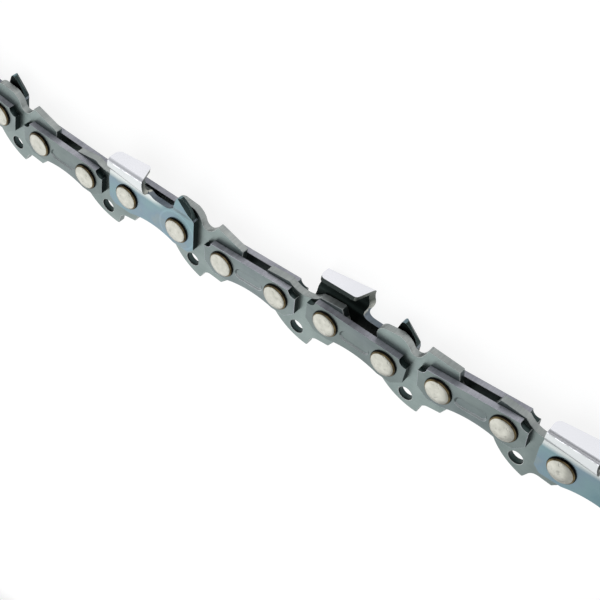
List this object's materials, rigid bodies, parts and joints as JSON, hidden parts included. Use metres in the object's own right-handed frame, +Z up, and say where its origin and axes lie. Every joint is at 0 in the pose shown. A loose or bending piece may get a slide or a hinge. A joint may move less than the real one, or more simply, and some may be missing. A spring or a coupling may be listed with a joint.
{
  "type": "chainsaw chain loop",
  "caption": "Closed loop of low-profile saw chain: cutters, tie straps and drive links on rivets, lying on its side.",
  "frame": {"origin": "on the ground under the middle of the lying loop", "axes": "+Z up, across the chain; the loop lies in X and Y, and the chain travels along +X on its +Y run"},
  "size_m": [0.1878, 0.2156, 0.0059],
  "materials": {
    "side_plate": "blued satin",
    "drive_plate": "blued satin",
    "cutter": "hard chrome on blued steel"
  },
  "bodies": {
    "left_cutter_link_01": {"left_cutter_link_01": "cutter"},
    "bumper_drive_link_01": {"bumper_drive_link_01": "drive_plate"},
    "tie_strap_link_01": {"tie_strap_link_01": "side_plate"},
    "drive_link_01": {"drive_link_01": "drive_plate"},
    "right_cutter_link_01": {"right_cutter_link_01": "cutter"},
    "bumper_drive_link_02": {"bumper_drive_link_02": "drive_plate"},
    "tie_strap_link_02": {"tie_strap_link_02": "side_plate"},
    "drive_link_02": {"drive_link_02": "drive_plate"},
    "left_cutter_link_02": {"left_cutter_link_02": "cutter"},
    "bumper_drive_link_03": {"bumper_drive_link_03": "drive_plate"},
    "tie_strap_link_03": {"tie_strap_link_03": "side_plate"},
    "drive_link_03": {"drive_link_03": "drive_plate"},
    "right_cutter_link_02": {"right_cutter_link_02": "cutter"},
    "bumper_drive_link_04": {"bumper_drive_link_04": "drive_plate"},
    "tie_strap_link_04": {"tie_strap_link_04": "side_plate"},
    "drive_link_04": {"drive_link_04": "drive_plate"},
    "left_cutter_link_03": {"left_cutter_link_03": "cutter"},
    "bumper_drive_link_05": {"bumper_drive_link_05": "drive_plate"},
    "tie_strap_link_05": {"tie_strap_link_05": "side_plate"},
    "drive_link_05": {"drive_link_05": "drive_plate"},
    "right_cutter_link_03": {"right_cutter_link_03": "cutter"},
    "tie_strap_group_01": {"tie_strap_group_01": "side_plate"},
    "left_cutter_link_04": {"left_cutter_link_04": "cutter"},
    "tie_strap_group_02": {"tie_strap_group_02": "side_plate"},
    "right_cutter_link_04": {"right_cutter_link_04": "cutter"},
    "tie_strap_group_03": {"tie_strap_group_03": "side_plate"},
    "left_cutter_link_05": {"left_cutter_link_05": "cutter"},
    "bumper_drive_link_06": {"bumper_drive_link_06": "drive_plate"},
    "tie_strap_link_06": {"tie_strap_link_06": "side_plate"},
    "drive_link_06": {"drive_link_06": "drive_plate"},
    "right_cutter_link_05": {"right_cutter_link_05": "cutter"},
    "bumper_drive_link_07": {"bumper_drive_link_07": "drive_plate"},
    "tie_strap_link_07": {"tie_strap_link_07": "side_plate"},
    "drive_link_07": {"drive_link_07": "drive_plate"},
    "left_cutter_link_06": {"left_cutter_link_06": "cutter"},
    "bumper_drive_link_08": {"bumper_drive_link_08": "drive_plate"},
    "tie_strap_link_08": {"tie_strap_link_08": "side_plate"},
    "drive_link_08": {"drive_link_08": "drive_plate"},
    "right_cutter_link_06": {"right_cutter_link_06": "cutter"},
    "bumper_drive_link_09": {"bumper_drive_link_09": "drive_plate"},
    "tie_strap_link_09": {"tie_strap_link_09": "side_plate"},
    "drive_link_09": {"drive_link_09": "drive_plate"},
    "left_cutter_link_07": {"left_cutter_link_07": "cutter"},
    "bumper_drive_link_10": {"bumper_drive_link_10": "drive_plate"},
    "tie_strap_link_10": {"tie_strap_link_10": "side_plate"},
    "drive_link_10": {"drive_link_10": "drive_plate"},
    "right_cutter_link_07": {"right_cutter_link_07": "cutter"},
    "bumper_drive_link_11": {"bumper_drive_link_11": "drive_plate"},
    "tie_strap_link_11": {"tie_strap_link_11": "side_plate"},
    "drive_link_11": {"drive_link_11": "drive_plate"},
    "left_cutter_link_08": {"left_cutter_link_08": "cutter"},
    "tie_strap_group_04": {"tie_strap_group_04": "side_plate"},
    "right_cutter_link_08": {"right_cutter_link_08": "cutter"},
    "tie_strap_group_05": {"tie_strap_group_05": "side_plate"},
    "left_cutter_link_09": {"left_cutter_link_09": "cutter"},
    "tie_strap_group_06": {"tie_strap_group_06": "side_plate"},
    "right_cutter_link_09": {"right_cutter_link_09": "cutter"},
    "bumper_drive_link_12": {"bumper_drive_link_12": "drive_plate"},
    "tie_strap_link_12": {"tie_strap_link_12": "side_plate"},
    "drive_link_12": {"drive_link_12": "drive_plate"}
  },
  "joints": [
    {"name": "pivot_07", "type": "hinge", "parent": "tie_strap_link_02", "child": "drive_link_02", "pos_m": [0.02236, 0.09856, 0.00293], "axis": [0, 0, -1], "range_deg": [-0.69, 6.28]},
    {"name": "pivot_08", "type": "hinge", "parent": "drive_link_02", "child": "left_cutter_link_02", "pos_m": [0.03105, 0.09943, 0.00293], "axis": [0, 0, -1], "range_deg": [-0.69, 6.28]},
    {"name": "pivot_09", "type": "hinge", "parent": "left_cutter_link_02", "child": "bumper_drive_link_03", "pos_m": [0.04094, 0.099, 0.00293], "axis": [0, 0, -1], "range_deg": [-0.69, 6.28]},
    {"name": "pivot_10", "type": "hinge", "parent": "bumper_drive_link_03", "child": "tie_strap_link_03", "pos_m": [0.04958, 0.10033, 0.00293], "axis": [0, 0, -1], "range_deg": [-0.69, 6.28]},
    {"name": "pivot_11", "type": "hinge", "parent": "tie_strap_link_03", "child": "drive_link_03", "pos_m": [0.05946, 0.10102, 0.00293], "axis": [0, 0, -1], "range_deg": [-0.69, 6.28]},
    {"name": "pivot_12", "type": "hinge", "parent": "drive_link_03", "child": "right_cutter_link_02", "pos_m": [0.06815, 0.10015, 0.00293], "axis": [0, 0, -1], "range_deg": [-0.69, 6.28]},
    {"name": "pivot_13", "type": "hinge", "parent": "right_cutter_link_02", "child": "bumper_drive_link_04", "pos_m": [0.07805, 0.10015, 0.00293], "axis": [0, 0, 1], "range_deg": [-3.07, 28]},
    {"name": "pivot_14", "type": "hinge", "parent": "bumper_drive_link_04", "child": "tie_strap_link_04", "pos_m": [0.0853, 0.09527, 0.00293], "axis": [0, 0, 1], "range_deg": [-3.07, 28]},
    {"name": "pivot_15", "type": "hinge", "parent": "tie_strap_link_04", "child": "drive_link_04", "pos_m": [0.08901, 0.08609, 0.00293], "axis": [0, 0, 1], "range_deg": [-3.07, 28]},
    {"name": "pivot_16", "type": "hinge", "parent": "drive_link_04", "child": "left_cutter_link_03", "pos_m": [0.08719, 0.07754, 0.00293], "axis": [0, 0, -1], "range_deg": [-0.69, 6.28]},
    {"name": "pivot_17", "type": "hinge", "parent": "left_cutter_link_03", "child": "bumper_drive_link_05", "pos_m": [0.08513, 0.06786, 0.00293], "axis": [0, 0, -1], "range_deg": [-0.69, 6.28]},
    {"name": "pivot_18", "type": "hinge", "parent": "bumper_drive_link_05", "child": "tie_strap_link_05", "pos_m": [0.08332, 0.05931, 0.00293], "axis": [0, 0, -1], "range_deg": [-0.69, 6.28]},
    {"name": "pivot_19", "type": "hinge", "parent": "tie_strap_link_05", "child": "drive_link_05", "pos_m": [0.08126, 0.04962, 0.00293], "axis": [0, 0, -1], "range_deg": [-0.69, 6.28]},
    {"name": "pivot_20", "type": "hinge", "parent": "drive_link_05", "child": "right_cutter_link_03", "pos_m": [0.07944, 0.04107, 0.00293], "axis": [0, 0, -1], "range_deg": [-0.69, 6.28]},
    {"name": "pivot_21", "type": "hinge", "parent": "right_cutter_link_03", "child": "tie_strap_group_01", "pos_m": [0.07738, 0.03139, 0.00293], "axis": [0, 0, -1], "range_deg": [-0.69, 6.28]},
    {"name": "pivot_24", "type": "hinge", "parent": "tie_strap_group_01", "child": "left_cutter_link_04", "pos_m": [0.07169, 0.00461, 0.00293], "axis": [0, 0, -1], "range_deg": [-0.69, 6.28]},
    {"name": "pivot_25", "type": "hinge", "parent": "left_cutter_link_04", "child": "tie_strap_group_02", "pos_m": [0.06963, -0.00508, 0.00293], "axis": [0, 0, -1], "range_deg": [-0.69, 6.28]},
    {"name": "pivot_28", "type": "hinge", "parent": "tie_strap_group_02", "child": "right_cutter_link_04", "pos_m": [0.06394, -0.03186, 0.00293], "axis": [0, 0, -1], "range_deg": [-0.69, 6.28]},
    {"name": "pivot_29", "type": "hinge", "parent": "right_cutter_link_04", "child": "tie_strap_group_03", "pos_m": [0.06188, -0.04154, 0.00293], "axis": [0, 0, -1], "range_deg": [-0.69, 6.28]},
    {"name": "pivot_32", "type": "hinge", "parent": "tie_strap_group_03", "child": "left_cutter_link_05", "pos_m": [0.05619, -0.06832, 0.00293], "axis": [0, 0, -1], "range_deg": [-0.69, 6.28]},
    {"name": "pivot_33", "type": "hinge", "parent": "left_cutter_link_05", "child": "bumper_drive_link_06", "pos_m": [0.05413, -0.07801, 0.00293], "axis": [0, 0, -1], "range_deg": [-0.69, 6.28]},
    {"name": "pivot_34", "type": "hinge", "parent": "bumper_drive_link_06", "child": "tie_strap_link_06", "pos_m": [0.05231, -0.08655, 0.00293], "axis": [0, 0, -1], "range_deg": [-0.69, 6.28]},
    {"name": "pivot_35", "type": "hinge", "parent": "tie_strap_link_06", "child": "drive_link_06", "pos_m": [0.05025, -0.09624, 0.00293], "axis": [0, 0, 1], "range_deg": [-4, 36.5]},
    {"name": "loop_flex", "type": "hinge", "parent": "drive_link_06", "child": "right_cutter_link_05", "pos_m": [0.04314, -0.10131, 0.00293], "axis": [0, 0, 1], "range_deg": [-4, 36.5]},
    {"name": "pivot_37", "type": "hinge", "parent": "right_cutter_link_05", "child": "bumper_drive_link_07", "pos_m": [0.03331, -0.10011, 0.00293], "axis": [0, 0, -1], "range_deg": [-0.69, 6.28]},
    {"name": "pivot_38", "type": "hinge", "parent": "bumper_drive_link_07", "child": "tie_strap_link_07", "pos_m": [0.02465, -0.09895, 0.00293], "axis": [0, 0, -1], "range_deg": [-0.69, 6.28]},
    {"name": "pivot_39", "type": "hinge", "parent": "tie_strap_link_07", "child": "drive_link_07", "pos_m": [0.01477, -0.09831, 0.00293], "axis": [0, 0, -1], "range_deg": [-0.69, 6.28]},
    {"name": "pivot_40", "type": "hinge", "parent": "drive_link_07", "child": "left_cutter_link_06", "pos_m": [0.00611, -0.09953, 0.00293], "axis": [0, 0, -1], "range_deg": [-0.69, 6.28]},
    {"name": "pivot_41", "type": "hinge", "parent": "left_cutter_link_06", "child": "bumper_drive_link_08", "pos_m": [-0.00378, -0.09922, 0.00293], "axis": [0, 0, -1], "range_deg": [-0.69, 6.28]},
    {"name": "pivot_06", "type": "hinge", "parent": "tie_strap_link_02", "child": "bumper_drive_link_02", "pos_m": [0.01246, 0.09821, 0.00293], "axis": [0, 0, 1], "range_deg": [-0.69, 6.28]},
    {"name": "pivot_05", "type": "hinge", "parent": "bumper_drive_link_02", "child": "right_cutter_link_01", "pos_m": [0.00378, 0.09922, 0.00293], "axis": [0, 0, 1], "range_deg": [-0.69, 6.28]},
    {"name": "pivot_04", "type": "hinge", "parent": "right_cutter_link_01", "child": "drive_link_01", "pos_m": [-0.00611, 0.09953, 0.00293], "axis": [0, 0, 1], "range_deg": [-0.69, 6.28]},
    {"name": "pivot_03", "type": "hinge", "parent": "drive_link_01", "child": "tie_strap_link_01", "pos_m": [-0.01477, 0.09831, 0.00293], "axis": [0, 0, 1], "range_deg": [-0.69, 6.28]},
    {"name": "pivot_02", "type": "hinge", "parent": "tie_strap_link_01", "child": "bumper_drive_link_01", "pos_m": [-0.02465, 0.09895, 0.00293], "axis": [0, 0, 1], "range_deg": [-0.69, 6.28]},
    {"name": "pivot_01", "type": "hinge", "parent": "bumper_drive_link_01", "child": "left_cutter_link_01", "pos_m": [-0.03331, 0.10011, 0.00293], "axis": [0, 0, 1], "range_deg": [-0.69, 6.28]},
    {"name": "pivot_00", "type": "hinge", "parent": "left_cutter_link_01", "child": "drive_link_12", "pos_m": [-0.04314, 0.10131, 0.00293], "axis": [0, 0, -1], "range_deg": [-4, 36.5]},
    {"name": "pivot_71", "type": "hinge", "parent": "drive_link_12", "child": "tie_strap_link_12", "pos_m": [-0.05025, 0.09624, 0.00293], "axis": [0, 0, -1], "range_deg": [-4, 36.5]},
    {"name": "pivot_70", "type": "hinge", "parent": "tie_strap_link_12", "child": "bumper_drive_link_12", "pos_m": [-0.05231, 0.08655, 0.00293], "axis": [0, 0, 1], "range_deg": [-0.69, 6.28]},
    {"name": "pivot_69", "type": "hinge", "parent": "bumper_drive_link_12", "child": "right_cutter_link_09", "pos_m": [-0.05413, 0.07801, 0.00293], "axis": [0, 0, 1], "range_deg": [-0.69, 6.28]},
    {"name": "pivot_68", "type": "hinge", "parent": "right_cutter_link_09", "child": "tie_strap_group_06", "pos_m": [-0.05619, 0.06832, 0.00293], "axis": [0, 0, 1], "range_deg": [-0.69, 6.28]},
    {"name": "pivot_65", "type": "hinge", "parent": "tie_strap_group_06", "child": "left_cutter_link_09", "pos_m": [-0.06188, 0.04154, 0.00293], "axis": [0, 0, 1], "range_deg": [-0.69, 6.28]},
    {"name": "pivot_64", "type": "hinge", "parent": "left_cutter_link_09", "child": "tie_strap_group_05", "pos_m": [-0.06394, 0.03186, 0.00293], "axis": [0, 0, 1], "range_deg": [-0.69, 6.28]},
    {"name": "pivot_61", "type": "hinge", "parent": "tie_strap_group_05", "child": "right_cutter_link_08", "pos_m": [-0.06963, 0.00508, 0.00293], "axis": [0, 0, 1], "range_deg": [-0.69, 6.28]},
    {"name": "pivot_60", "type": "hinge", "parent": "right_cutter_link_08", "child": "tie_strap_group_04", "pos_m": [-0.07169, -0.00461, 0.00293], "axis": [0, 0, 1], "range_deg": [-0.69, 6.28]},
    {"name": "pivot_57", "type": "hinge", "parent": "tie_strap_group_04", "child": "left_cutter_link_08", "pos_m": [-0.07738, -0.03139, 0.00293], "axis": [0, 0, 1], "range_deg": [-0.69, 6.28]},
    {"name": "pivot_56", "type": "hinge", "parent": "left_cutter_link_08", "child": "drive_link_11", "pos_m": [-0.07944, -0.04107, 0.00293], "axis": [0, 0, 1], "range_deg": [-0.69, 6.28]},
    {"name": "pivot_55", "type": "hinge", "parent": "drive_link_11", "child": "tie_strap_link_11", "pos_m": [-0.08126, -0.04962, 0.00293], "axis": [0, 0, 1], "range_deg": [-0.69, 6.28]},
    {"name": "pivot_54", "type": "hinge", "parent": "tie_strap_link_11", "child": "bumper_drive_link_11", "pos_m": [-0.08332, -0.05931, 0.00293], "axis": [0, 0, 1], "range_deg": [-0.69, 6.28]},
    {"name": "pivot_53", "type": "hinge", "parent": "bumper_drive_link_11", "child": "right_cutter_link_07", "pos_m": [-0.08513, -0.06786, 0.00293], "axis": [0, 0, 1], "range_deg": [-0.69, 6.28]},
    {"name": "pivot_52", "type": "hinge", "parent": "right_cutter_link_07", "child": "drive_link_10", "pos_m": [-0.08719, -0.07754, 0.00293], "axis": [0, 0, 1], "range_deg": [-0.69, 6.28]},
    {"name": "pivot_51", "type": "hinge", "parent": "drive_link_10", "child": "tie_strap_link_10", "pos_m": [-0.08901, -0.08609, 0.00293], "axis": [0, 0, -1], "range_deg": [-3.07, 28]},
    {"name": "pivot_50", "type": "hinge", "parent": "tie_strap_link_10", "child": "bumper_drive_link_10", "pos_m": [-0.0853, -0.09527, 0.00293], "axis": [0, 0, -1], "range_deg": [-3.07, 28]},
    {"name": "pivot_49", "type": "hinge", "parent": "bumper_drive_link_10", "child": "left_cutter_link_07", "pos_m": [-0.07805, -0.10015, 0.00293], "axis": [0, 0, -1], "range_deg": [-3.07, 28]},
    {"name": "pivot_48", "type": "hinge", "parent": "left_cutter_link_07", "child": "drive_link_09", "pos_m": [-0.06815, -0.10015, 0.00293], "axis": [0, 0, 1], "range_deg": [-0.69, 6.28]},
    {"name": "pivot_47", "type": "hinge", "parent": "drive_link_09", "child": "tie_strap_link_09", "pos_m": [-0.05946, -0.10102, 0.00293], "axis": [0, 0, 1], "range_deg": [-0.69, 6.28]},
    {"name": "pivot_46", "type": "hinge", "parent": "tie_strap_link_09", "child": "bumper_drive_link_09", "pos_m": [-0.04958, -0.10033, 0.00293], "axis": [0, 0, 1], "range_deg": [-0.69, 6.28]},
    {"name": "pivot_45", "type": "hinge", "parent": "bumper_drive_link_09", "child": "right_cutter_link_06", "pos_m": [-0.04094, -0.099, 0.00293], "axis": [0, 0, 1], "range_deg": [-0.69, 6.28]},
    {"name": "pivot_44", "type": "hinge", "parent": "right_cutter_link_06", "child": "drive_link_08", "pos_m": [-0.03105, -0.09943, 0.00293], "axis": [0, 0, 1], "range_deg": [-0.69, 6.28]},
    {"name": "pivot_43", "type": "hinge", "parent": "drive_link_08", "child": "tie_strap_link_08", "pos_m": [-0.02236, -0.09856, 0.00293], "axis": [0, 0, 1], "range_deg": [-0.69, 6.28]}
  ],
  "couplings": [
    {"joint": "pivot_07", "follows": "loop_flex", "ratio": 0.17205},
    {"joint": "pivot_08", "follows": "loop_flex", "ratio": 0.17205},
    {"joint": "pivot_09", "follows": "loop_flex", "ratio": 0.17205},
    {"joint": "pivot_10", "follows": "loop_flex", "ratio": 0.17205},
    {"joint": "pivot_11", "follows": "loop_flex", "ratio": 0.17205},
    {"joint": "pivot_12", "follows": "loop_flex", "ratio": 0.17205},
    {"joint": "pivot_13", "follows": "loop_flex", "ratio": 0.76712},
    {"joint": "pivot_14", "follows": "loop_flex", "ratio": 0.76712},
    {"joint": "pivot_15", "follows": "loop_flex", "ratio": 0.76712},
    {"joint": "pivot_16", "follows": "loop_flex", "ratio": 0.17205},
    {"joint": "pivot_17", "follows": "loop_flex", "ratio": 0.17205},
    {"joint": "pivot_18", "follows": "loop_flex", "ratio": 0.17205},
    {"joint": "pivot_19", "follows": "loop_flex", "ratio": 0.17205},
    {"joint": "pivot_20", "follows": "loop_flex", "ratio": 0.17205},
    {"joint": "pivot_21", "follows": "loop_flex", "ratio": 0.17205},
    {"joint": "pivot_24", "follows": "loop_flex", "ratio": 0.17205},
    {"joint": "pivot_25", "follows": "loop_flex", "ratio": 0.17205},
    {"joint": "pivot_28", "follows": "loop_flex", "ratio": 0.17205},
    {"joint": "pivot_29", "follows": "loop_flex", "ratio": 0.17205},
    {"joint": "pivot_32", "follows": "loop_flex", "ratio": 0.17205},
    {"joint": "pivot_33", "follows": "loop_flex", "ratio": 0.17205},
    {"joint": "pivot_34", "follows": "loop_flex", "ratio": 0.17205},
    {"joint": "pivot_35", "follows": "loop_flex", "ratio": 1},
    {"joint": "pivot_37", "follows": "loop_flex", "ratio": 0.17205},
    {"joint": "pivot_38", "follows": "loop_flex", "ratio": 0.17205},
    {"joint": "pivot_39", "follows": "loop_flex", "ratio": 0.17205},
    {"joint": "pivot_40", "follows": "loop_flex", "ratio": 0.17205},
    {"joint": "pivot_41", "follows": "loop_flex", "ratio": 0.17205},
    {"joint": "pivot_06", "follows": "loop_flex", "ratio": 0.17205},
    {"joint": "pivot_05", "follows": "loop_flex", "ratio": 0.17205},
    {"joint": "pivot_04", "follows": "loop_flex", "ratio": 0.17205},
    {"joint": "pivot_03", "follows": "loop_flex", "ratio": 0.17205},
    {"joint": "pivot_02", "follows": "loop_flex", "ratio": 0.17205},
    {"joint": "pivot_01", "follows": "loop_flex", "ratio": 0.17205},
    {"joint": "pivot_00", "follows": "loop_flex", "ratio": 1},
    {"joint": "pivot_71", "follows": "loop_flex", "ratio": 1},
    {"joint": "pivot_70", "follows": "loop_flex", "ratio": 0.17205},
    {"joint": "pivot_69", "follows": "loop_flex", "ratio": 0.17205},
    {"joint": "pivot_68", "follows": "loop_flex", "ratio": 0.17205},
    {"joint": "pivot_65", "follows": "loop_flex", "ratio": 0.17205},
    {"joint": "pivot_64", "follows": "loop_flex", "ratio": 0.17205},
    {"joint": "pivot_61", "follows": "loop_flex", "ratio": 0.17205},
    {"joint": "pivot_60", "follows": "loop_flex", "ratio": 0.17205},
    {"joint": "pivot_57", "follows": "loop_flex", "ratio": 0.17205},
    {"joint": "pivot_56", "follows": "loop_flex", "ratio": 0.17205},
    {"joint": "pivot_55", "follows": "loop_flex", "ratio": 0.17205},
    {"joint": "pivot_54", "follows": "loop_flex", "ratio": 0.17205},
    {"joint": "pivot_53", "follows": "loop_flex", "ratio": 0.17205},
    {"joint": "pivot_52", "follows": "loop_flex", "ratio": 0.17205},
    {"joint": "pivot_51", "follows": "loop_flex", "ratio": 0.76712},
    {"joint": "pivot_50", "follows": "loop_flex", "ratio": 0.76712},
    {"joint": "pivot_49", "follows": "loop_flex", "ratio": 0.76712},
    {"joint": "pivot_48", "follows": "loop_flex", "ratio": 0.17205},
    {"joint": "pivot_47", "follows": "loop_flex", "ratio": 0.17205},
    {"joint": "pivot_46", "follows": "loop_flex", "ratio": 0.17205},
    {"joint": "pivot_45", "follows": "loop_flex", "ratio": 0.17205},
    {"joint": "pivot_44", "follows": "loop_flex", "ratio": 0.17205},
    {"joint": "pivot_43", "follows": "loop_flex", "ratio": 0.17205}
  ]
}
